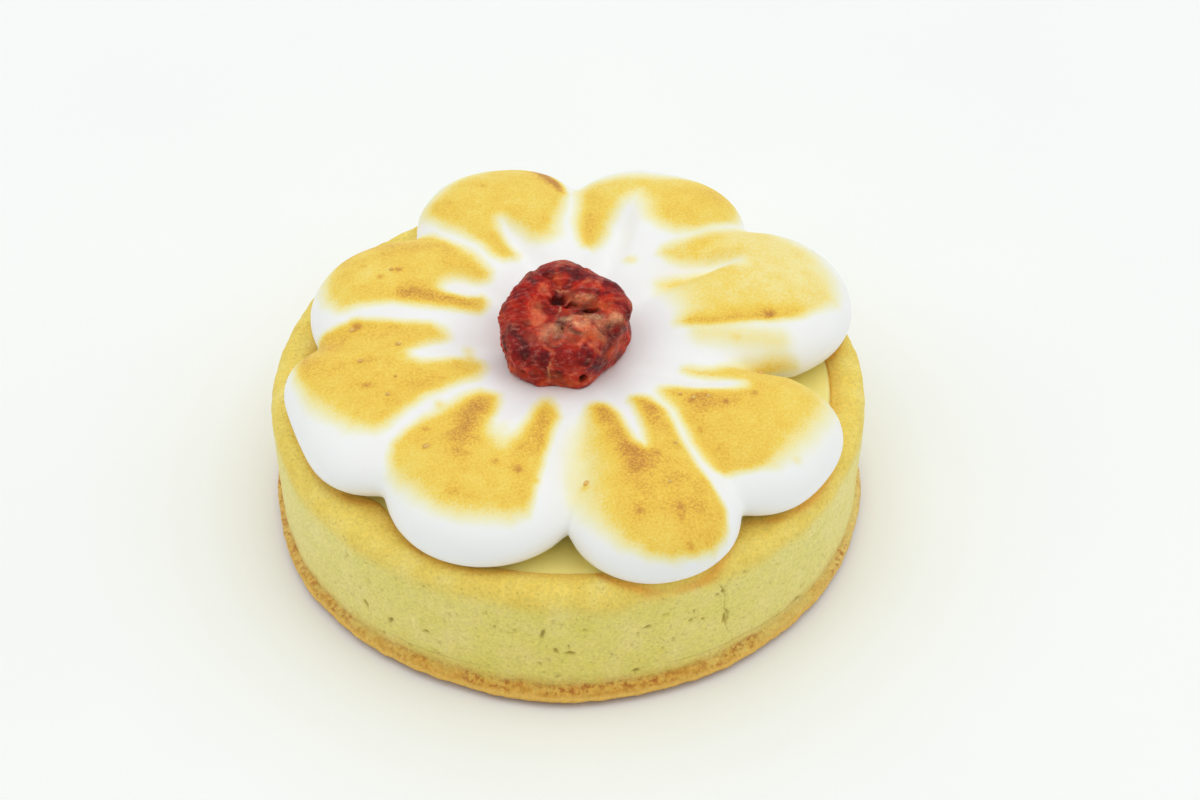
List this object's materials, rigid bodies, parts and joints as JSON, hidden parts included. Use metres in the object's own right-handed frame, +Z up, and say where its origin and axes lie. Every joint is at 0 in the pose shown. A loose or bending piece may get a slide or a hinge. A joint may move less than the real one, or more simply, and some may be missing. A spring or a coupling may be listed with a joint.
{
  "type": "lemon curd tart",
  "caption": "Round shortcrust tart filled with lemon curd, topped with a flower of torched meringue petals and a piece of candied red fruit.",
  "frame": {"origin": "the middle of the tart's underside, on the surface that it stands on", "axes": "+Z up through the tart, -Y towards the side that faces the viewer, +X to the viewer's right"},
  "size_m": [0.0822, 0.0818, 0.0355],
  "materials": {
    "pastry": "pale baked shortcrust, matte and finely pored, golden at the rim and brown at the foot",
    "curd": "set lemon curd, smooth and softly glossy",
    "meringue": "white meringue with a satin skin, torched golden brown on its back",
    "fruit": "candied fruit flesh, wrinkled, moist and slightly translucent"
  },
  "bodies": {
    "root": {"crust": "pastry", "lemon_curd": "curd", "meringue": "meringue", "red_fruit": "fruit"}
  },
  "joints": []
}
